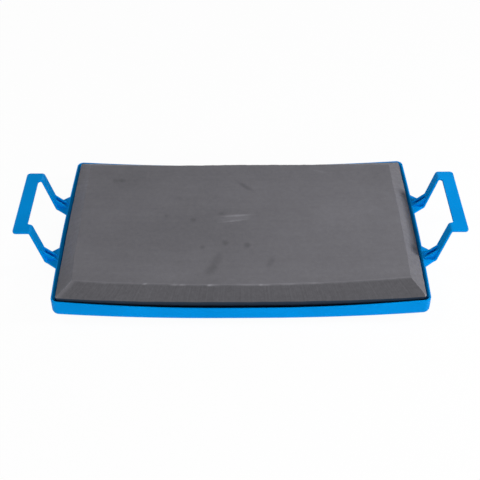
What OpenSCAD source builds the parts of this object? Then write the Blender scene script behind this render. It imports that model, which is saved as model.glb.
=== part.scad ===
// Sliding kneeling board: a moulded tray with two handles in one piece, and a foam pad bonded into it.
// Millimetres, +Z up. The origin is the middle of the flat that the board rests on.

/* [Tray] */
// Length over the rim, at the middle of the short sides
tray_l = 500; // [440:5:560]
// Width over the rim, at the middle of the long sides
tray_w = 319; // [290:1:360]
// How far each short side swells out at its middle
short_bow = 4.7; // [3.5:0.1:8]
// How far each long side swells out at its middle
long_bow = 3.7; // [2:0.1:8]
// Plan radius of the rim's corners
corner_r = 9; // [7:0.5:14]
// Thickness of the rim wall at its top
wall = 2.5; // [2:0.25:4]
// Thickness of the floor
floor_t = 3; // [2:0.25:5]
// Height of the rim above the base, at the middle of a side
rim_h = 20.1; // [16:0.1:24]
// Extra height of the rim at its corners
corner_lift = 4.6; // [0:0.2:7]
// How far the draft draws in the outside of the rim wall at its foot
draft = 0.2; // [0.1:0.1:1.5]
// How far the draft of the core brings in the inside of the rim wall at its foot
core_draft = 2.8; // [1:0.1:3.5]
// Outside radius where the rim wall turns into the base
base_r = 6.4; // [4:0.2:8]
// Radius along both edges of the rim's top
lip_r = 0.9; // [0.4:0.1:1]
// Inside radius where the rim wall meets the floor
floor_r = 1; // [0.5:0.1:1.5]

/* [Rocker] */
// Rise of the base from its flat to the short ends
rocker_l = 6.6; // [0:0.1:12]
// Rise of the base from its flat to the long sides
rocker_w = 4.4; // [0:0.1:8]
// Length of the flat in the middle of the base
rest_l = 80; // [40:5:140]

/* [Handles] */
// Length of each handle along the rim
handle_l = 134.4; // [122:0.2:150]
// Width of the grip
grip_w = 17.8; // [14:0.2:24]
// Clear reach for the fingers, from the rim to the grip
finger_gap = 35; // [30:0.5:42]
// Height of the grip above the roots
grip_rise = 50.8; // [35:0.2:60]
// Thickness of the strap that the handle is made of
strap_t = 3; // [2.5:0.25:4]
// Width of each arm
arm_w = 17.8; // [12:0.2:22]
// How far the foot of each arm stands out from the rim
foot_out = 13.1; // [9:0.1:15]
// How far each arm leans out from its foot to the grip
arm_lean = 15.6; // [8:0.1:17]
// Radius inside the strap's bends
bend_r = 1.5; // [0.5:0.25:3]
// Plan radius of the grip's outer corners
grip_r = 5; // [2:0.5:8]
// Plan radius in the corners of the finger opening
opening_r = 3.5; // [1:0.5:5]

/* [Roots] */
// Length of each root along the rim
root_l = 45; // [34:0.5:52]
// How far the roots lie below the rim's top
root_drop = 0.6; // [0.1:0.1:1]
// Height of the gussets on the arm
gusset_h = 16; // [8:0.5:24]
// Thickness of a gusset
gusset_t = 2; // [1.5:0.1:3]
// Distance between the middles of the two gussets of a root
gusset_pitch = 9; // [6:0.5:10]

/* [Pad] */
// Thickness of the foam
pad_t = 37; // [32:0.5:44]
// Height of the pad's sides, up to the bevel
pad_side_h = 22.5; // [18:0.5:27]
// How far the sides are cut back towards their foot
pad_undercut = 14; // [6:0.5:16]
// Plan width of the cut bevel, at the middle of each side
bevel_w = 18.5; // [12:0.5:25]
// Clearance between the pad and the top of the rim wall, all round each corner
pad_gap = 3; // [1:0.1:4]
// How far each short side of the pad swells out at its middle
pad_short_bow = 2; // [0:0.5:4]
// How far each long side of the pad swells out at its middle
pad_long_bow = 2; // [0:0.2:3]
// How much more the long sides of the pad's top swell, which widens their bevel towards its ends
top_bow = 6; // [0:0.5:8]
// Rounding where the bevel meets the top
bevel_r = 1.5; // [0.5:0.25:3]

/* [Adhesive] */
// Thickness of the adhesive film
film_t = 0.4; // [0.2:0.1:1]
// How far the film stops short of the pad's foot
film_inset = 3; // [1:0.5:10]

/* [Hidden] */

// Steps along a corner arc, a long side and a short side of every outline
corner_n = 6;
long_n = 14;
short_n = 10;
// Steps along a bend of the strap and along the rounding of the pad's bevel
bend_n = 6;
bevel_n = 2;

half_l = tray_l / 2;
half_w = tray_w / 2;
rest_x = rest_l / 2;
rest_y = rest_x * tray_w / tray_l;
rest_share = rest_l / tray_l;
// Outlines are shrunk by these shares to carry the rocker from the flat to the edge
shares = [for (i = [0 : 4]) rest_share + (1 - rest_share) * i / 5];

// An outline is its half length, half width, corner radius, short bow and long bow
tray_size = [half_l, half_w, corner_r, short_bow, long_bow];
pad_corner_x = half_l - short_bow - wall - pad_gap;
pad_corner_y = half_w - long_bow - wall - pad_gap;
pad_corner_r = corner_r - wall - pad_gap;
pad_size = [pad_corner_x + pad_short_bow, pad_corner_y + pad_long_bow, pad_corner_r,
            pad_short_bow, pad_long_bow];
top_size = [pad_size[0], pad_size[1], pad_corner_r, pad_short_bow, pad_long_bow + top_bow];
pad_z = floor_t + film_t;

grip_in = half_l + finger_gap;
grip_out = grip_in + grip_w;
foot_x = half_l + foot_out;
bend_x = foot_x + arm_lean;
handle_y = handle_l / 2;
root_y = handle_y - arm_w / 2;
root_out = root_y + root_l / 2;
root_in = root_y - root_l / 2;
// Where the roots end inside the rim wall
root_x = half_l - short_bow * pow(root_out / half_w, 2) - wall / 2;
root_z = ground([half_l, root_y]) + rim([half_l, root_y]) - root_drop;
grip_z = root_z + grip_rise;
arm_angle = atan2(grip_rise, arm_lean);
least_r = 0.5;

function climb(u, flat, reach) = u <= flat ? 0 : pow((u - flat) / (reach - flat), 2);

// Height of the base over the ground at a plan point
function ground(p) =
    rocker_l * climb(abs(p.x), rest_x, half_l) + rocker_w * climb(abs(p.y), rest_y, half_w);

// Height of the rim over the base at a plan point
function rim(p) = rim_h + corner_lift * pow(p.x / half_l, 2) * pow(p.y / half_w, 2);

function arc(c, r, from, to, n) =
    [for (i = [0 : n]) let (t = from + (to - from) * i / n) [c.x + r * cos(t), c.y + r * sin(t)]];

function between(p, q, n) = [for (i = [1 : n - 1]) p + (q - p) * i / n];

// Rounded rectangle, anticlockwise from the start of its corner at +X +Y
function rounded(a, b, r) =
    let (ne = arc([a - r, b - r], r, 0, 90, corner_n))
    let (nw = arc([r - a, b - r], r, 90, 180, corner_n))
    let (sw = arc([r - a, r - b], r, 180, 270, corner_n))
    let (se = arc([a - r, r - b], r, 270, 360, corner_n))
    concat(ne, between(ne[corner_n], nw[0], long_n), nw, between(nw[corner_n], sw[0], short_n),
           sw, between(sw[corner_n], se[0], long_n), se, between(se[corner_n], ne[0], short_n));

// Outline moved in by an inset, with its sides swelling out at their middles
function outline(size, inset) =
    let (a = size[0], b = size[1])
    [for (p = rounded(a - inset, b - inset, max(size[2] - inset, least_r)))
        [p.x * (1 - size[3] / a * pow(p.y / b, 2)), p.y * (1 - size[4] / b * pow(p.x / a, 2))]];

// One ring of points: the outline at an inset, shrunk to a share, at a height over the base
// plus a part of the rim's own height
function ring(size, inset, share, height, rim_part = 0) =
    [for (q = outline(size, inset)) let (p = q * share)
        [p.x, p.y, ground(p) + height + rim_part * rim(q)]];

// The rings that tray, film and pad share where they lie on each other
function bed(height) =
    [for (s = concat(shares, [1])) ring(pad_size, pad_undercut + film_inset, s, height)];

function backwards(list) = [for (i = [len(list) - 1 : -1 : 0]) list[i]];

// Closed solid whose skin runs out through one list of rings and back in through another. Both ways
// a cell is cut along the same diagonal, so solids that share rings meet face to face
module lofted(out, in) {
    n = len(out[0]);
    crest = len(out) * n;
    count = crest + len(in) * n;
    cells = [for (k = [0 : n : count - 2 * n]) for (i = [0 : n - 1]) let (j = (i + 1) % n)
        [k + j, k + i, k + n + i, k + n + j]];
    skin = [for (c = cells) for (t = c[0] < crest ? [[0, 1, 2], [0, 2, 3]] : [[0, 1, 3], [1, 2, 3]])
        [c[t[0]], c[t[1]], c[t[2]]]];
    under = [for (i = [0 : n - 1]) i];
    top = [for (i = [1 : n]) count - i];
    polyhedron([for (r = concat(out, in)) for (p = r) p], concat([under, top], skin));
}

// Base, rim wall with its draft and rounded lip, and floor
module tray() {
    foot = draft + base_r;
    inner = wall + core_draft;
    base = [for (s = shares) ring(tray_size, foot, s, 0)];
    turn = [for (t = [0 : 22.5 : 90])
        ring(tray_size, foot - base_r * sin(t), 1, base_r * (1 - cos(t)))];
    lip_out = [for (t = [0 : 30 : 90])
        ring(tray_size, lip_r * (1 - cos(t)), 1, lip_r * (sin(t) - 1), 1)];
    lip_in = [for (t = [0 : 30 : 90])
        ring(tray_size, wall - lip_r * (1 - sin(t)), 1, lip_r * (cos(t) - 1), 1)];
    floor_turn = [for (t = [0 : 45 : 90])
        ring(tray_size, inner + floor_r * (1 - cos(t)), 1, floor_t + floor_r * (1 - sin(t)))];
    lofted(concat(base, turn, lip_out), concat(lip_in, floor_turn, backwards(bed(floor_t))));
}

// Handle seen from above: two roots widening onto the rim, two arms and the grip
module handle_plan() {
    arm_in = handle_y - arm_w;
    polygon(concat(
        [[root_x, root_out], [foot_x, handle_y]],
        arc([grip_out - grip_r, handle_y - grip_r], grip_r, 90, 0, bend_n),
        arc([grip_out - grip_r, grip_r - handle_y], grip_r, 0, -90, bend_n),
        [[foot_x, -handle_y], [root_x, -root_out], [root_x, -root_in], [foot_x, -arm_in]],
        arc([grip_in - opening_r, opening_r - arm_in], opening_r, -90, 0, bend_n),
        arc([grip_in - opening_r, arm_in - opening_r], opening_r, 0, 90, bend_n),
        [[foot_x, arm_in], [root_x, root_in]]));
}

// Handle seen from its end: a strap that leaves the rim level, bends up into the arm and levels out again
module handle_profile() {
    outer_r = bend_r + strap_t;
    foot_c = [foot_x - bend_r * tan(arm_angle / 2), root_z + bend_r];
    grip_c = [bend_x + outer_r * tan(arm_angle / 2), grip_z - outer_r];
    polygon(concat(
        [[root_x, root_z]],
        arc(foot_c, bend_r, -90, arm_angle - 90, bend_n),
        arc(grip_c, outer_r, arm_angle + 90, 90, bend_n),
        [[grip_out, grip_z], [grip_out, grip_z - strap_t]],
        arc(grip_c, bend_r, 90, arm_angle + 90, bend_n),
        arc(foot_c, outer_r, arm_angle - 90, -90, bend_n),
        [[root_x, root_z - strap_t]]));
}

// Triangular web that stiffens the corner between a root and its arm, let into both by half the strap
module gusset() {
    sink = strap_t / 2;
    lean = gusset_h / tan(arm_angle);
    polygon([
        [root_x + sink, root_z - sink],
        [root_x + sink, root_z],
        [foot_x + lean, root_z + gusset_h],
        [foot_x + lean + sink, root_z + gusset_h],
        [foot_x + sink, root_z - sink]]);
}

module upright(thickness) {
    rotate([90, 0, 0])
        linear_extrude(thickness, center = true)
            children();
}

// Right-hand handle
module handle() {
    intersection() {
        linear_extrude(grip_z + strap_t)
            handle_plan();
        upright(2 * root_out)
            handle_profile();
    }
    for (side = [-1, 1], web = [-1, 1])
        translate([0, side * root_y + web * gusset_pitch / 2, 0])
            upright(gusset_t)
                gusset();
}

module board() {
    color("#0a84d2")
        union() {
            tray();
            handle();
            mirror([1, 0, 0])
                handle();
        }
}

// Foam block with undercut sides and a knife-cut bevel all round, bent to the rocker of the floor
module kneeling_pad() {
    slope = atan2(pad_t - pad_side_h, bevel_w);
    edge_c = bevel_w + bevel_r * tan(slope / 2);
    foot = ring(pad_size, pad_undercut, 1, pad_z);
    side = ring(pad_size, 0, 1, pad_z + pad_side_h);
    edge = [for (i = [0 : bevel_n]) let (t = slope * (1 - i / bevel_n))
        ring(top_size, edge_c - bevel_r * sin(t), 1, pad_z + pad_t - bevel_r * (1 - cos(t)))];
    top = [for (s = shares) ring(top_size, edge_c, s, pad_z + pad_t)];
    color("#59595d")
        lofted(concat(bed(pad_z), [foot, side]), concat(edge, backwards(top)));
}

// Full-face film that bonds the pad to the floor
module adhesive_film() {
    color("#e8e2cf")
        lofted(bed(floor_t), backwards(bed(pad_z)));
}

board();
kneeling_pad();
adhesive_film();
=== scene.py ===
"""Sliding kneeling board: tray and handles in one blue moulding, with a bevelled foam pad bonded into it.

Lengths are in millimetres until a mesh is made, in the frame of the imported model: +X along the board,
+Y across it, +Z up, and the origin in the middle of the flat that the board rests on.
"""

import math

import bpy
import numpy as np
from mathutils import Matrix


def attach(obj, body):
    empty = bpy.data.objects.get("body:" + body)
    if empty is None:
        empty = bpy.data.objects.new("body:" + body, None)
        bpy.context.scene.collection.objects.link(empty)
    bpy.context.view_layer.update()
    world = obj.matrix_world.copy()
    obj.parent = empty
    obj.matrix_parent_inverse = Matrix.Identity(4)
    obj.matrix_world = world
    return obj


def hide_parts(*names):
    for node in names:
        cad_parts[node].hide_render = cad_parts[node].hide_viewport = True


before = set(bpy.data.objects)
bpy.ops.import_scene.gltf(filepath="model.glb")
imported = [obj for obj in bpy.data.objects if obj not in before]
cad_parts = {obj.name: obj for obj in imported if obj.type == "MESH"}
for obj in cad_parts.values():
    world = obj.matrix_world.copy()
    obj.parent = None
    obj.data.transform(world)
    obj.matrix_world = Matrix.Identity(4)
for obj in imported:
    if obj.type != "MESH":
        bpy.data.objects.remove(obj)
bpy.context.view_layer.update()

MM = 0.001

# Tray
TRAY_L, TRAY_W, CORNER_R = 500.0, 319.0, 9.0
SHORT_BOW, LONG_BOW = 4.7, 3.7
WALL, FLOOR_T, DRAFT, CORE_DRAFT = 2.5, 3.0, 0.2, 2.8
RIM_H, CORNER_LIFT = 20.1, 4.6
# Share of the rim's height over which its inner face leads in
LEAD_IN = 0.17
BASE_R, LIP_R, FLOOR_R = 6.4, 0.9, 1.0
ROCKER_L, ROCKER_W, REST_L = 6.6, 4.4, 80.0
HALF_L, HALF_W = TRAY_L / 2, TRAY_W / 2
REST_X, REST_Y = REST_L / 2, REST_L / 2 * TRAY_W / TRAY_L

# Handles
HANDLE_Y, ARM_W, ROOT_L = 67.2, 17.8, 45.0
GRIP_W, FINGER_GAP, GRIP_RISE = 17.8, 35.0, 50.8
FOOT_OUT, ARM_LEAN, STRAP_T = 13.1, 15.6, 3.0
BEND_R, GRIP_R, OPENING_R, ROOT_DROP = 1.5, 5.0, 3.5, 0.6
GUSSET_H, GUSSET_T, GUSSET_PITCH = 16.0, 2.0, 9.0
STRAP_EDGE, GUSSET_EDGE = 0.7, 0.35
ARM_IN = HANDLE_Y - ARM_W
ROOT_Y = HANDLE_Y - ARM_W / 2
FOOT_X = HALF_L + FOOT_OUT
GRIP_IN = HALF_L + FINGER_GAP
GRIP_OUT = GRIP_IN + GRIP_W
ROOT_X = HALF_L - SHORT_BOW * ((ROOT_Y + ROOT_L / 2) / HALF_W) ** 2 - WALL / 2
ARM_ANGLE = math.atan2(GRIP_RISE, ARM_LEAN)

# Pad
PAD_T, PAD_SIDE_H, PAD_UNDERCUT, BEVEL_W = 37.0, 22.5, 14.0, 18.5
PAD_SHORT_BOW, PAD_LONG_BOW, TOP_BOW = 2.0, 2.0, 6.0
EDGE_R, RIDGE_R, PAD_GAP, FILM_T = 0.4, 0.8, 3.0, 0.4
# Power of the curve of the pad's side, where 1 is straight
SIDE_BULGE = 1.6
PAD_Z = FLOOR_T + FILM_T

# An outline is its half length, half width, corner radius, short bow and long bow
TRAY = (HALF_L, HALF_W, CORNER_R, SHORT_BOW, LONG_BOW)
PAD_INSET = WALL + PAD_GAP
PAD = (HALF_L - SHORT_BOW - PAD_INSET + PAD_SHORT_BOW, HALF_W - LONG_BOW - PAD_INSET + PAD_LONG_BOW,
       CORNER_R - PAD_INSET, PAD_SHORT_BOW, PAD_LONG_BOW)

# How far the blade wandered: along the ridge in long and in short waves, and at the lower edge of the cut
WANDER, FINE_WANDER, DIP = 0.4, 0.2, 0.3
# How much wider the bevel is at the left end, beside the left front corner, at the right end, and at the
# right of the front. The left of the front is as much narrower.
LEFT_WIDE, CORNER_WIDE, RIGHT_WIDE, FRONT_SKEW = 0.8, 5.5, 0.6, 2.6
# Unevenness of the top in waves along the board and across it
SAG_ALONG, SAG_ACROSS = 0.3, 0.2

# Wear on the pad's top: place, half length and half width in millimetres, turn in degrees, and how dark it
# is. The first six are broad, where knees polished the foam or left it paler, the rest smudges and scuffs.
WEAR = [(-110, -20, 125, 45, 5, 0.14), (-185, 95, 45, 60, 0, 0.18), (140, 30, 80, 75, 0, -0.13),
        (0, -112, 240, 22, 0, -0.1), (0, 112, 250, 20, 0, 0.08), (-200, -90, 28, 45, 0, -0.1),
        (-66, 6, 3.5, 5, 0, 0.55), (-21, -45, 5, 5.5, 0, 0.55), (9, -50, 4.5, 6, 0, 0.55),
        (-52, -54, 3, 4, 0, 0.45), (-87, 57, 3, 4, 0, 0.2), (-104, 14, 3, 4, 0, 0.45),
        (-183, 93, 3.5, 5, 0, 0.5), (-173, 94, 5, 5, 0, 0.5), (-32, -82, 16, 6, 72, 0.38),
        (-39, -103, 11, 7, 60, 0.5), (40, -88, 12, 4, 68, 0.38), (8, 82, 15, 3.5, -44, 0.6),
        (-27, 20, 4, 3, 0, 0.5), (-8, 9, 21, 5, 6, -0.4), (-6, 15, 20, 2.0, 4, -1.5),
        (-10, 3, 18, 1.6, 9, -1.0), (118, 117, 15, 2.5, -18, -0.4)]
WEAR_DEPTH = 0.45

# Pale nicks on the front ridge: place along it, half length, and how pale. The whole ridge is also drawn a
# bit pale, a painted highlight where it catches the light.
NICKS = [(-124, 2, 0.8), (-86, 3, 0.5), (-76, 3, 0.6), (-40, 1.5, 1.0), (-38, 6, 0.4), (8, 12, 0.35),
         (25, 1.5, 0.8), (32, 8, 0.4), (62, 14, 0.3), (95, 8, 0.3)]
RIDGE_HIGHLIGHT = 0.18
# The mitre beside the left front corner is rubbed pale over a few millimetres
RUB_R, RUB_PALE = 5.0, 0.5

# Painted light on the cut foam: how much lighter or darker each side is drawn, for how the light falls on
# it: +X, -X, +Y, -Y
PAINTED_SIDE_LIGHT = (1.18, 1.31, 1.0, 0.66)
# Painted light and shade: the front cut darkens to the right, and the left cut lightens up to its ridge and
# darkens to the front
FRONT_PAINTED_SHADE, LEFT_PAINTED_LIGHT, LEFT_PAINTED_SHADE = 0.05, 0.25, 0.18


def ground(x, y):
    """Height of the rockered base: squares of the distance past the flat, along the board and across it."""
    along = np.clip((np.abs(x) - REST_X) / (HALF_L - REST_X), 0, None)
    across = np.clip((np.abs(y) - REST_Y) / (HALF_W - REST_Y), 0, None)
    return ROCKER_L * along ** 2 + ROCKER_W * across ** 2


def rim(x, y):
    """Height of the rim over the base: level along the sides and lifted towards the corners."""
    return RIM_H + CORNER_LIFT * (x / HALF_L) ** 2 * (y / HALF_W) ** 2


ROOT_Z = float(ground(HALF_L, ROOT_Y) + rim(HALF_L, ROOT_Y)) - ROOT_DROP


def round_trip(corner_n=16, long_n=120, short_n=80):
    """Once round a rounded rectangle: each point's place between the corner centres, from -1 to 1 both ways,
    and its outward normal. A corner keeps its place and turns the normal, a side does the opposite."""
    turn = np.linspace(0, np.pi / 2, corner_n + 1)
    place, normal = [], []
    for k, (x, y, n) in enumerate([(1, 1, long_n), (-1, 1, short_n), (-1, -1, long_n), (1, -1, short_n)]):
        t = turn + k * np.pi / 2
        place.append(np.tile([x, y], (corner_n + 1, 1)).astype(float))
        normal.append(np.stack([np.cos(t), np.sin(t)], 1))
        step = np.linspace(1, -1, n + 1)[1:-1, None]
        place.append(np.array([[x, y]]) * np.where(np.array([[k % 2 == 0, k % 2 == 1]]), step, 1))
        normal.append(np.tile(normal[-1][-1], (n - 1, 1)))
    return np.concatenate(place), np.concatenate(normal)


PLACE, NORMAL = round_trip()


def outline(size, inset):
    """The rounded rectangle moved in by inset, its sides bowed out: they lose the bow with the square of the
    distance from their middles."""
    a, b, r, short_bow, long_bow = size
    r = np.maximum(r - inset, 0.5)
    x = PLACE[:, 0] * (a - inset - r) + NORMAL[:, 0] * r
    y = PLACE[:, 1] * (b - inset - r) + NORMAL[:, 1] * r
    return x * (1 - short_bow / a * (y / b) ** 2), y * (1 - long_bow / b * (x / a) ** 2)


def column(values):
    """One row for each value, to be spread over the points of a ring."""
    return np.asarray(values, float)[:, None]


def skin(size, inset, share, height, rim_part=0):
    """Rings of points: the outline at each inset, shrunk by share, at a height over the base plus a part of
    the rim's height."""
    x, y = outline(size, inset)
    lift = height + rim_part * rim(x, y)
    x, y = x * share, y * share
    return np.stack([x, y, ground(x, y) + lift], 2)


def sheet_faces(rows, n):
    """Quads between neighbouring rings of n points, and one face to close each end."""
    k, i = np.meshgrid(np.arange(rows - 1) * n, np.arange(n), indexing="ij")
    j = (i + 1) % n
    quads = np.stack([k + i, k + j, k + n + j, k + n + i], 2).reshape(-1, 4)
    return quads.tolist() + [list(range(n))[::-1], list(range((rows - 1) * n, rows * n))]


def shell(points, flip=False):
    """Closed shell through rings of points, as (vertices, faces). flip is for a mirrored shape."""
    faces = sheet_faces(*points.shape[:2])
    return points.reshape(-1, 3), [f[::-1] for f in faces] if flip else faces


def mesh_object(name, shells, material):
    """One smooth object from several shells, with its place in its mesh."""
    points, faces, count = [], [], 0
    for p, f in shells:
        points.append(p * MM)
        faces += [[v + count for v in face] for face in f]
        count += len(p)
    mesh = bpy.data.meshes.new(name)
    mesh.from_pydata(np.concatenate(points).tolist(), [], faces)
    mesh.shade_smooth()
    mesh.materials.append(material)
    obj = bpy.data.objects.new(name, mesh)
    bpy.context.collection.objects.link(obj)
    return obj


def tray():
    """Tray skin: out along the base, up the drafted wall, over the rounded lip, down the inner face, which
    leads in over its upper part, and back in along the floor."""
    shares = np.linspace(0.02, 1, 28)[:-1]
    quarter = np.linspace(0, np.pi / 2, 9)
    sin, cos = np.sin(quarter), np.cos(quarter)
    climb = np.linspace(0.08, 0.92, 8)
    drop = 1 - np.linspace(0.2, 0.97, 16) ** 2
    lead_in = CORE_DRAFT * np.clip((1 - drop) / LEAD_IN, 0, 1) ** 0.8
    foot, inner = DRAFT + BASE_R, WALL + CORE_DRAFT
    # Each stretch of the section: inset, share, height over the base and part of the rim's height
    stretches = [
        (foot, shares, 0, 0),
        (foot - BASE_R * sin, 1, BASE_R * (1 - cos), 0),
        (DRAFT * (1 - climb), 1, BASE_R * (1 - climb) - LIP_R * climb, climb),
        (LIP_R * (1 - cos), 1, LIP_R * (sin - 1), 1),
        (WALL - LIP_R * (1 - sin), 1, LIP_R * (cos - 1), 1),
        (WALL + lead_in, 1, (FLOOR_T + FLOOR_R) * (1 - drop) - LIP_R * drop, drop),
        (inner + FLOOR_R * (1 - cos), 1, FLOOR_T + FLOOR_R * (1 - sin), 0),
        (inner + FLOOR_R, shares[::-1], FLOOR_T, 0),
    ]
    section = np.concatenate([np.stack(np.broadcast_arrays(*stretch)) for stretch in stretches], 1)
    return shell(skin(TRAY, *map(column, section)))


# The strap's upper face unrolled: straight along the root, round the foot bend, up the arm, round the upper
# bend and straight along the grip. Distances run from the root's end inside the rim wall.
OUTER_R = BEND_R + STRAP_T
HALF_TAN = math.tan(ARM_ANGLE / 2)
BENDS = np.cumsum([FOOT_X - ROOT_X - BEND_R * HALF_TAN, BEND_R * ARM_ANGLE,
                   math.hypot(ARM_LEAN, GRIP_RISE) - (BEND_R + OUTER_R) * HALF_TAN, OUTER_R * ARM_ANGLE])
GRIP_START = FOOT_X + ARM_LEAN + OUTER_R * HALF_TAN


def along_grip(x):
    """Distance along the unrolled strap of a plan position x on the grip."""
    return x - GRIP_START + float(BENDS[3])


def bent(u, y, lift):
    """Wraps the unrolled sheet round its two bends: the slope runs evenly through each bend, and the
    position is the sum of its cosine and sine. lift is measured square to the sheet."""
    fine = np.linspace(0, BENDS[3] + GRIP_W + FINGER_GAP, 4001)
    slope = np.interp(fine, BENDS, [0, ARM_ANGLE, ARM_ANGLE, 0])
    mid = (slope[1:] + slope[:-1]) / 2
    step = fine[1] - fine[0]
    x = ROOT_X + np.concatenate([[0], np.cumsum(np.cos(mid) * step)])
    z = ROOT_Z + np.concatenate([[0], np.cumsum(np.sin(mid) * step)])
    a = np.interp(u, fine, slope)
    return np.stack([np.interp(u, fine, x) - lift * np.sin(a), y,
                     np.interp(u, fine, z) + lift * np.cos(a)], -1)


def strap_edges():
    """Outer and inner edge lines of half a handle on the unrolled sheet, station by station: the root
    narrows to the arm, the arm runs up, the edges swing round the corner and run to the grip's middle."""
    root = np.linspace(0, 1, 14)[:, None]
    foot = FOOT_X - ROOT_X
    outer_root = np.array([[0, ROOT_Y + ROOT_L / 2]]) * (1 - root) + np.array([[foot, HANDLE_Y]]) * root
    inner_root = np.array([[0, ROOT_Y - ROOT_L / 2]]) * (1 - root) + np.array([[foot, ARM_IN]]) * root
    # Along the arm, with stations close together round the bends
    start, end = along_grip(GRIP_IN - OPENING_R), along_grip(GRIP_OUT)
    past_foot, before_top = BENDS[1] + 1, BENDS[2] - 1
    up = np.concatenate([np.linspace(foot, past_foot, 8)[1:], np.linspace(past_foot, before_top, 20)[1:],
                         np.linspace(before_top, start, 16)[1:]])
    outer_arm = np.stack([up, np.full_like(up, HANDLE_Y)], 1)
    inner_arm = np.stack([up, np.full_like(up, ARM_IN)], 1)
    # Round the corner: the inner edge turns evenly while the outer edge runs out, turns and runs back
    t = np.linspace(np.pi / 2, 0, 13)[1:]
    corner = np.array([[end - GRIP_R, HANDLE_Y - GRIP_R]]) + GRIP_R * np.stack([np.cos(t), np.sin(t)], 1)
    lead = np.linspace(start, end - GRIP_R, 9)[1:]
    tail = np.linspace(HANDLE_Y - GRIP_R, ARM_IN - OPENING_R, 9)[1:]
    outer_swing = np.concatenate([np.stack([lead, np.full_like(lead, HANDLE_Y)], 1), corner,
                                  np.stack([np.full_like(tail, end), tail], 1)])
    s = np.linspace(np.pi / 2, 0, len(outer_swing) + 1)[1:]
    inner_swing = np.array([[start, ARM_IN - OPENING_R]]) + OPENING_R * np.stack([np.cos(s), np.sin(s)], 1)
    along = np.linspace(ARM_IN - OPENING_R, 0, 16)[1:]
    outer_grip = np.stack([np.full_like(along, end), along], 1)
    inner_grip = np.stack([np.full_like(along, along_grip(GRIP_IN)), along], 1)
    return (np.concatenate([outer_root, outer_arm, outer_swing, outer_grip]),
            np.concatenate([inner_root, inner_arm, inner_swing, inner_grip]))


def handle(side):
    """Strap handle: at each station a rounded rectangle laid between the two edge lines, then bent as one
    sheet. The half towards +Y is mirrored for the other arm, and side -1 mirrors the whole to the left."""
    outer, inner = (np.concatenate([edge, edge[-2::-1] * [1, -1]]) for edge in strap_edges())
    across = inner - outer
    width = np.linalg.norm(across, axis=1, keepdims=True)
    across /= width
    # Round the section: inner upper, inner lower, outer lower and outer upper edge, each with one more point
    # on the flat, 1 mm in, which keeps the flats flat under smooth shading
    top = np.pi / 2
    quarter = np.linspace(top, 0, 5)
    turn = np.concatenate([[top], quarter, quarter - top, [-top], [-top], quarter - 2 * top,
                           quarter - 3 * top, [top]])
    at_inner = np.repeat([1, 1, 0, 0], 6)
    at_lower = np.repeat([0, 1, 1, 0], 6)
    on_flat = np.zeros(24)
    on_flat[[0, 11, 12, 23]] = [-1, -1, 1, 1]
    reach = STRAP_EDGE + at_inner * (width - 2 * STRAP_EDGE) + STRAP_EDGE * np.cos(turn) + on_flat
    lift = -STRAP_EDGE - at_lower * (STRAP_T - 2 * STRAP_EDGE) + STRAP_EDGE * np.sin(turn)
    u = outer[:, :1] + across[:, :1] * reach
    y = outer[:, 1:] + across[:, 1:] * reach
    points = bent(u, y, np.broadcast_to(lift, u.shape)) * [side, 1, 1]
    return shell(points, flip=side < 0)


def gusset(side, y):
    """Triangular web between root and arm: a rounded ridge along its sloping top edge, with skirts that run
    down into the strap."""
    sink, half, r = STRAP_T / 2, GUSSET_T / 2, GUSSET_EDGE
    # The tip ends a little inside the arm
    low = np.array([ROOT_X + sink, ROOT_Z])
    high = np.array([FOOT_X + GUSSET_H / math.tan(ARM_ANGLE) + 0.6, ROOT_Z + GUSSET_H + 0.5])
    w = np.linspace(0, 1, 12)
    ridge = low + (high - low) * w[:, None]
    run = (high - low) / np.linalg.norm(high - low)
    down = np.array([run[1], -run[0]])
    # The skirts' feet follow the root, and the arm from seven tenths of the way on
    foot = np.stack([np.interp(w, [0, 0.7, 1], [low[0], FOOT_X + sink, high[0] + sink]),
                     np.interp(w, [0, 0.7, 1], [low[1] - sink, ROOT_Z - sink, high[1] - 0.2])], 1)
    turn = np.linspace(0, np.pi, 9)
    over = np.sign(np.cos(turn).round(9)) * (half - r) + r * np.cos(turn)
    across = np.concatenate([[half, half], over, [-half, -half]])
    sunk = np.concatenate([[r, r], r * (1 - np.sin(turn)), [r, r]])
    skirt = np.concatenate([[1, 0.02], np.zeros(9), [0.02, 1]])
    top = ridge[:, None, :] + down * sunk[None, :, None]
    xz = top + (foot[:, None, :] - top) * skirt[None, :, None]
    points = np.stack([xz[..., 0] * side, np.broadcast_to(y + across, xz.shape[:2]), xz[..., 1]], 2)
    return shell(points, flip=side < 0)


def waves(t, lengths, seed):
    """Sum of cosines of the given wavelengths with seeded phases, scaled to about -1 to 1."""
    phase = np.random.default_rng(seed).uniform(0, 2 * np.pi, len(lengths))
    parts = np.cos(2 * np.pi * t[..., None] / np.array(lengths) + phase)
    return parts.sum(-1) / math.sqrt(len(lengths) * 2)


def eased(corner, r, start, end):
    """Arc of radius r that eases a corner given as inset and height. Its outward normal turns from start to
    end, both measured up from the level."""
    mid, reach = (start + end) / 2, r / math.cos((end - start) / 2)
    t = np.linspace(start, end, 9)
    inset = corner[0] + reach * math.cos(mid) - r * np.cos(t)
    height = corner[1] - reach * math.sin(mid) + r * np.sin(t)
    return inset, height


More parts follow.
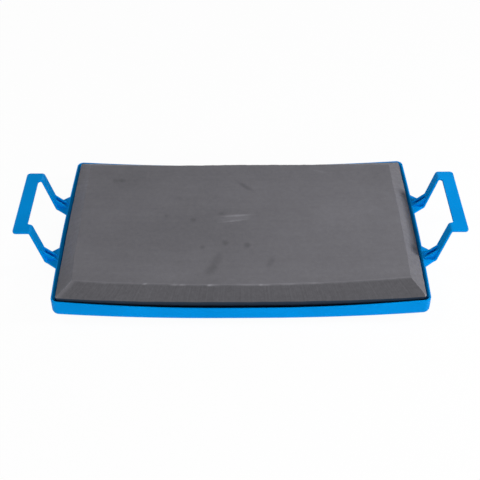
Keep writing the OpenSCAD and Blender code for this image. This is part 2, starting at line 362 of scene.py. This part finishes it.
def pad_profile():
    """Half a section through the foam block, row by row from the middle of its bed to the middle of its top:
    out along the bed, up the undercut side, which bulges by a power of the way down, in along the knife-cut
    bevel and over the ridge. Each row has its inset, share and height, how far up the bevel it is, how much
    of it is a cut face, how near it is to the ridge, and how much of it takes the dark painted shade of the
    side below the bevel's lower edge."""
    slope = math.atan2(PAD_T - PAD_SIDE_H, BEVEL_W)
    lean = math.atan2(PAD_UNDERCUT, PAD_SIDE_H)
    edge_in, edge_h = eased((0, PAD_SIDE_H), EDGE_R, -lean, math.pi / 2 - slope)
    ridge_in, ridge_h = eased((BEVEL_W, PAD_T), RIDGE_R, math.pi / 2 - slope, math.pi / 2)
    bed = np.array([0.03, 0.4, 0.75, 0.97])
    side = np.linspace(0, 1, 12)[:-1]
    cut = np.linspace(0, 1, 26)[1:-1]
    top = np.concatenate([[0.995, 0.988], np.linspace(0.98, 0.01, 60)])
    stretches = (bed, side, edge_in, cut, ridge_in, top)

    def rows(*values):
        """One column over all stretches, from a value or an array for each."""
        return column(np.concatenate([np.broadcast_to(v, len(s)) for s, v in zip(stretches, values)]))

    return {
        "inset": rows(PAD_UNDERCUT, edge_in[0] + (PAD_UNDERCUT - edge_in[0]) * (1 - side) ** SIDE_BULGE,
                      edge_in, edge_in[-1] + (ridge_in[0] - edge_in[-1]) * cut, ridge_in, ridge_in[-1]),
        "share": rows(bed, 1, 1, 1, 1, top),
        "height": rows(0, edge_h[0] * side, edge_h, edge_h[-1] + (ridge_h[0] - edge_h[-1]) * cut, ridge_h,
                       PAD_T),
        "up": rows(0, 0, 0, cut, 1, 1),
        "sliced": rows(0, 1, 1, 1, np.linspace(1, 0, 9), 0),
        "crest": rows(0, 0, 0, np.clip(cut * 12 - 11, 0, 1), 1, np.clip((top - 0.985) * 100, 0, 1)),
        # Painted shade: the side below the bevel's lower edge is drawn dark
        "skin": rows(1, 1, np.linspace(1.5, -0.5, 9).clip(0, 1), 0, 0, 0),
    }


def pad_points(profile):
    """Foam block: the profile swept round the outline, with the blade's wander along the ridge and the lower
    edge of the cut, and a slight sag of the top, all as sums of waves."""
    share, height, up = profile["share"], profile["height"], profile["up"]
    x, y = outline(PAD, 0)
    run = np.concatenate([[0], np.cumsum(np.hypot(np.diff(x), np.diff(y)))])
    lap = run[-1] + math.hypot(x[-1] - x[0], y[-1] - y[0])
    wander = WANDER * waves(run, lap / np.array([5, 13, 29, 61]), 4)
    wander += FINE_WANDER * waves(run, lap / np.array([97, 151]), 5)
    dip = DIP * waves(run, lap / np.array([9, 23, 47]), 6)
    edge = np.where(profile["sliced"] > 0, 1 - up, 0) * height / PAD_SIDE_H
    size = (*PAD[:4], PAD_LONG_BOW + TOP_BOW * up)
    points = skin(size, profile["inset"] + up * share * wander, share, height + edge * dip + PAD_Z)
    x, y = points[..., 0], points[..., 1]
    left, right, near = (np.clip(v, 0, 1) for v in (-x / PAD[0], x / PAD[0], -y / PAD[1]))
    x += up * (left ** 2 * (LEFT_WIDE + CORNER_WIDE * near ** 4) - RIGHT_WIDE * right ** 2)
    y += up * near ** 2 * FRONT_SKEW * x / PAD[0]
    sag = SAG_ALONG * waves(x + 0.4 * y, [310, 170, 95], 7)
    sag += SAG_ACROSS * waves(y - 0.3 * x, [190, 120, 70], 8)
    points[..., 2] += sag * up
    return points


def wear(x, y):
    """Smudges and scuffs on the top: the sum of turned bell-shaped spots."""
    total = np.zeros_like(x)
    for cx, cy, long, wide, turn, dark in WEAR:
        c, s = math.cos(math.radians(turn)), math.sin(math.radians(turn))
        along, across = ((x - cx) * c + (y - cy) * s) / long, ((y - cy) * c - (x - cx) * s) / wide
        total += dark * np.exp(-(along ** 2 + across ** 2) ** 1.5)
    return total


def pad_marks(profile, points):
    """What the foam's material reads at each point: how far it is cut, a painted highlight on the front
    ridge with its pale nicks, a pale mitre, the dark painted shade on the side below the bevel, its distance
    along the side in metres, and its tone, which is the wear times the painted light and shade on each side
    of the cut."""
    up, sliced = profile["up"], profile["sliced"]
    x, y = points[..., 0], points[..., 1]
    facing = np.clip([NORMAL[:, 0], -NORMAL[:, 0], NORMAL[:, 1], -NORMAL[:, 1]], 0, 1)
    nicks = sum(pale * np.exp(-((x - at) / half) ** 2) for at, half, pale in NICKS)
    corner = (np.abs(PLACE) == 1).all(1) & (np.abs(NORMAL) > 0.3).all(1)
    left_front = np.flatnonzero((PLACE == -1).all(1))
    mitre = points[:, left_front[len(left_front) // 2], None, :2]
    rubbed = RUB_PALE * np.exp(-((points[..., :2] - mitre) ** 2).sum(-1) / RUB_R ** 2)
    # Painted light and shade on each side of the cut
    painted_light = np.array(PAINTED_SIDE_LIGHT) @ facing ** 2 - FRONT_PAINTED_SHADE * x / PAD[0] * facing[3] ** 2
    painted_light += ((up - 0.5) * LEFT_PAINTED_LIGHT - LEFT_PAINTED_SHADE * np.clip(-y / PAD[1], 0, 1)) * facing[1] ** 2
    low_on_cut = np.argmax(up > 0.25)
    marks = {
        "sliced": sliced,
        # Painted highlight along the front ridge, with its pale nicks
        "crest": profile["crest"] * facing[3] * (RIDGE_HIGHLIGHT + nicks),
        "mitre": sliced * np.clip(profile["height"] / PAD_SIDE_H, 0, 1) * np.maximum(corner, rubbed),
        "run": np.where(np.abs(NORMAL[:, 1]) > 0.7, x[low_on_cut], y[low_on_cut]) * MM,
        "tone": (1 - WEAR_DEPTH * wear(x, y) * up * (1 - sliced)) * (1 + sliced * (painted_light - 1)),
        # The dark painted shade on the side below the bevel
        "skin": profile["skin"],
    }
    return {name: np.broadcast_to(values, x.shape) for name, values in marks.items()}


def linear(code):
    """sRGB hex to linear RGBA."""
    c = np.array([int(code[i:i + 2], 16) for i in (1, 3, 5)]) / 255
    return (*np.where(c <= 0.04045, c / 12.92, ((c + 0.055) / 1.055) ** 2.4), 1.0)


def add(tree, kind, links=(), **settings):
    """Adds a node, sets its properties, and fills its inputs from a dict of socket to value or output."""
    node = tree.nodes.new("ShaderNode" + kind)
    for key, value in settings.items():
        setattr(node, key, value)
    for socket, value in dict(links).items():
        if isinstance(value, bpy.types.NodeSocket):
            tree.links.new(value, node.inputs[socket])
        else:
            node.inputs[socket].default_value = value
    return node


def new_material(name):
    """Material with an empty node tree."""
    material = bpy.data.materials.new(name)
    material.use_nodes = True
    tree = material.node_tree
    tree.nodes.clear()
    return material, tree


def pattern(size):
    """Noise scale that gives a pattern about size millimetres across."""
    return 1 / (size * MM)


def moulded_polypropylene():
    """Polypropylene, injection moulded in a finely spark-eroded tool: a satin skin with a soft broad
    highlight that keeps the blue, the colour a touch uneven where the melt flowed."""
    material, tree = new_material("moulded_blue_polypropylene")
    place = add(tree, "TexCoord").outputs["Object"]
    flow = add(tree, "TexNoise", {"Vector": place, "Scale": pattern(55), "Detail": 3.0, "Roughness": 0.5})
    colour = add(tree, "ValToRGB", {"Fac": flow.outputs["Fac"]})
    colour.color_ramp.elements[0].position = 0.3
    colour.color_ramp.elements[0].color = linear("#008bda")
    colour.color_ramp.elements[1].position = 0.7
    colour.color_ramp.elements[1].color = linear("#0093e4")
    # The tool's grain is about 0.1 mm. It is drawn at 0.6 mm so that it shows.
    grain = add(tree, "TexNoise", {"Vector": place, "Scale": pattern(0.6), "Detail": 2.0})
    bump = add(tree, "Bump", {"Height": grain.outputs["Fac"], "Strength": 0.05, "Distance": 0.0002})
    gloss = add(tree, "MapRange", {"Value": flow.outputs["Fac"], "To Min": 0.36, "To Max": 0.46})
    shader = add(tree, "BsdfPrincipled", {"Base Color": colour.outputs["Color"], "IOR": 1.49,
                                          "Roughness": gloss.outputs["Result"], "Specular IOR Level": 0.03,
                                          "Specular Tint": linear("#0094e6"),
                                          "Normal": bump.outputs["Normal"]})
    add(tree, "OutputMaterial", {"Surface": shader.outputs["BSDF"]})
    return material


def cut_foam():
    """Closed-cell EVA foam, sliced from a block and bevelled with a blade: matt, with fine open cells and
    faint slicing lines, drag marks across the cut, a painted highlight along the front ridge with pale
    nicks, and knee smudges. Each cut side carries painted light and shade, and the side below the bevel a
    dark painted shade."""
    material, tree = new_material("knife_cut_eva_foam")
    place = add(tree, "TexCoord").outputs["Object"]
    sliced, crest, mitre, run, tone, side_shade_mask = (
        add(tree, "Attribute", attribute_name=name).outputs["Fac"]
        for name in ("sliced", "crest", "mitre", "run", "tone", "skin"))
    cloud = add(tree, "TexNoise", {"Vector": place, "Scale": pattern(70), "Detail": 6.0, "Roughness": 0.72})
    slicing = add(tree, "VectorMath", {0: place, 1: (pattern(140), pattern(6.7), pattern(140))},
                  operation="MULTIPLY")
    lines = add(tree, "TexNoise", {"Vector": slicing.outputs[0], "Scale": 1.0, "Detail": 3.0})
    mottle = add(tree, "TexNoise", {"Vector": place, "Scale": pattern(6), "Detail": 2.0})
    # Open cells are about 0.3 mm. They are drawn at 1.1 mm so that they show.
    cells = add(tree, "TexNoise", {"Vector": place, "Scale": pattern(1.1), "Detail": 2.0})
    drag = add(tree, "TexNoise", {"W": run, "Scale": pattern(2.4), "Detail": 3.0}, noise_dimensions="1D")
    torn = add(tree, "TexNoise", {"Vector": place, "Scale": pattern(3.8), "Detail": 3.0, "Roughness": 0.6})

    def patterned(level, patterns):
        """The level times each noise, whose middle range is spread from a dark to a light share."""
        for noise, dark, light in patterns:
            share = add(tree, "MapRange", {"Value": noise.outputs["Fac"], "From Min": 0.3, "From Max": 0.7,
                                           "To Min": dark, "To Max": light}, clamp=False)
            dimmed = add(tree, "Math", {0: level, 1: share.outputs["Result"]}, operation="MULTIPLY")
            level = dimmed.outputs[0]
        return level

    surface = patterned(tone, [(cloud, 0.93, 1.07), (lines, 0.975, 1.025), (mottle, 0.96, 1.04),
                               (cells, 0.94, 1.06)])
    bladed = patterned(surface, [(drag, 0.88, 1.0), (torn, 0.93, 1.07)])
    shade = add(tree, "Mix", {"Factor": sliced, "A": surface, "B": bladed})
    grey = linear("#6b6a6f")[:3]
    colour = add(tree, "VectorMath", {0: grey, "Scale": shade.outputs[0]}, operation="SCALE")
    # Painted highlight along the front ridge, with its pale nicks, and the pale rubbed mitre
    rubbed = add(tree, "Math", {0: mitre, 1: 0.6}, operation="MULTIPLY")
    pale = add(tree, "Math", {0: crest, 1: rubbed.outputs[0]}, operation="MAXIMUM")
    ridge_highlight_and_rub = add(tree, "Mix", {"Factor": pale.outputs[0], "A": colour.outputs[0], "B": linear("#8b8a90")},
                  data_type="RGBA")
    # Painted shade: the block's side below the bevel is drawn dark blue-grey, for the shade and blue bounce
    # in the gap behind the rim
    side_shaded = add(tree, "Mix", {"Factor": side_shade_mask, "A": ridge_highlight_and_rub.outputs["Result"], "B": linear("#2d3a47")},
                  data_type="RGBA")
    bump = add(tree, "Bump", {"Height": cells.outputs["Fac"], "Strength": 0.35, "Distance": 0.0004})
    shader = add(tree, "BsdfPrincipled", {"Base Color": side_shaded.outputs["Result"], "Roughness": 0.86,
                                          "Specular IOR Level": 0.3, "IOR": 1.45,
                                          "Normal": bump.outputs["Normal"]})
    add(tree, "OutputMaterial", {"Surface": shader.outputs["BSDF"]})
    return material


def transfer_adhesive():
    """Acrylic transfer film: a cloudy cream layer, slightly glossy at its edge."""
    material, tree = new_material("acrylic_transfer_film")
    place = add(tree, "TexCoord").outputs["Object"]
    haze = add(tree, "TexNoise", {"Vector": place, "Scale": pattern(16), "Detail": 3.0})
    colour = add(tree, "ValToRGB", {"Fac": haze.outputs["Fac"]})
    colour.color_ramp.elements[0].color = linear("#ddd6c0")
    colour.color_ramp.elements[1].color = linear("#ece6d4")
    shader = add(tree, "BsdfPrincipled", {"Base Color": colour.outputs["Color"], "Roughness": 0.35,
                                          "IOR": 1.47})
    add(tree, "OutputMaterial", {"Surface": shader.outputs["BSDF"]})
    return material


def camera():
    """Camera of the photograph, from a fit to the rim, the pad's edges and the handles."""
    distance, aim = 1452.74, np.array([-0.7, 0.0, 8.12])
    elevation, azimuth, roll = (math.radians(angle) for angle in (39.435, 0.081, -0.217))
    ahead = np.array([math.sin(azimuth) * math.cos(elevation), math.cos(azimuth) * math.cos(elevation),
                      -math.sin(elevation)])
    right = np.array([math.cos(azimuth), -math.sin(azimuth), 0])
    up = np.cross(right, ahead)
    right, up = (math.cos(roll) * right + math.sin(roll) * up, math.cos(roll) * up - math.sin(roll) * right)
    data = bpy.data.cameras.new("camera")
    data.sensor_fit = "HORIZONTAL"
    data.sensor_width, data.lens = 36, 76.868
    obj = bpy.data.objects.new("camera", data)
    matrix = np.eye(4)
    matrix[:3, :3] = np.stack([right, up, -ahead], 1)
    matrix[:3, 3] = (aim - distance * ahead) * MM
    obj.matrix_world = Matrix(matrix.tolist())
    bpy.context.collection.objects.link(obj)
    bpy.context.scene.camera = obj


def lamp(name, place, size, power):
    """Square soft box that faces the middle of the board. place and size are in metres."""
    data = bpy.data.lights.new(name, "AREA")
    data.size, data.energy = size, power
    obj = bpy.data.objects.new(name, data)
    towards = np.array(place) / np.linalg.norm(place)
    side = np.cross([0, 0, 1], towards)
    side = side / np.linalg.norm(side)
    matrix = np.eye(4)
    matrix[:3, :3] = np.stack([side, np.cross(towards, side), towards], 1)
    matrix[:3, 3] = place
    obj.matrix_world = Matrix(matrix.tolist())
    bpy.context.collection.objects.link(obj)


def seen_directly(tree):
    """1 for rays from the camera or off a mirror-like or clear surface, 0 for light on the object."""
    path = add(tree, "LightPath")
    seen = path.outputs["Is Camera Ray"]
    for ray in ("Is Glossy Ray", "Is Transmission Ray"):
        seen = add(tree, "Math", {0: seen, 1: path.outputs[ray]}, operation="MAXIMUM").outputs[0]
    return seen


def studio():
    """White floor that keeps a pale shadow, white surroundings, and soft boxes right, left, behind and in
    front."""
    # The floor is just clear of the flat that the board rests on, so that the two don't coincide
    half, low = 4.0, -0.3 * MM
    mesh = bpy.data.meshes.new("floor")
    mesh.from_pydata([(-half, -half, low), (half, -half, low), (half, half, low), (-half, half, low)], [],
                     [(0, 1, 2, 3)])
    floor = bpy.data.objects.new("floor", mesh)
    bpy.context.collection.objects.link(floor)
    material, tree = new_material("white_floor")
    paint = add(tree, "BsdfDiffuse", {"Color": linear("#f7f7f7")})
    glow = add(tree, "Emission", {"Color": linear("#ffffff"), "Strength": 1.0})
    # A trace of the paint stays to the eye, with the shadow that falls on it
    share = add(tree, "Math", {0: seen_directly(tree), 1: 0.96}, operation="MULTIPLY")
    mixed = add(tree, "MixShader", {0: share.outputs[0], 1: paint.outputs[0], 2: glow.outputs[0]})
    add(tree, "OutputMaterial", {"Surface": mixed.outputs[0]})
    mesh.materials.append(material)
    world = bpy.data.worlds.new("surroundings")
    bpy.context.scene.world = world
    world.use_nodes = True
    tree = world.node_tree
    tree.nodes.clear()
    # White to the eye, and only a little fill on the object
    strength = add(tree, "MapRange", {"Value": seen_directly(tree), "To Min": 0.05, "To Max": 1.0})
    back = add(tree, "Background", {"Color": linear("#ffffff"), "Strength": strength.outputs["Result"]})
    add(tree, "OutputWorld", {"Surface": back.outputs[0]})
    lamp("right_key", (1.1, -0.1, 0.735), 0.2, 9.8)
    lamp("left_high", (-1.1, 0.1, 1.5), 0.9, 10.2)
    lamp("back_box", (0.1, 2.0, 0.35), 0.6, 12.0)
    lamp("front_box", (0.0, -1.9, 0.71), 0.8, 21.5)


blue, foam, film = moulded_polypropylene(), cut_foam(), transfer_adhesive()

shells = [tray()]
for side in (1, -1):
    shells.append(handle(side))
    shells += [gusset(side, end * ROOT_Y + web * GUSSET_PITCH / 2) for end in (-1, 1) for web in (-1, 1)]
board = mesh_object("board_moulding", shells, blue)
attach(board, "root")
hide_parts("board")

profile = pad_profile()
points = pad_points(profile)
pad = mesh_object("foam_pad", [shell(points)], foam)
for name, values in pad_marks(profile, points).items():
    mark = pad.data.attributes.new(name, "FLOAT", "POINT")
    mark.data.foreach_set("value", values.astype(np.float32).ravel())
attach(pad, "root")
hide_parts("kneeling_pad")

film_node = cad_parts["adhesive_film"]
film_node.data.materials.clear()
film_node.data.materials.append(film)

camera()
studio()
bpy.context.scene.view_settings.view_transform = "Standard"
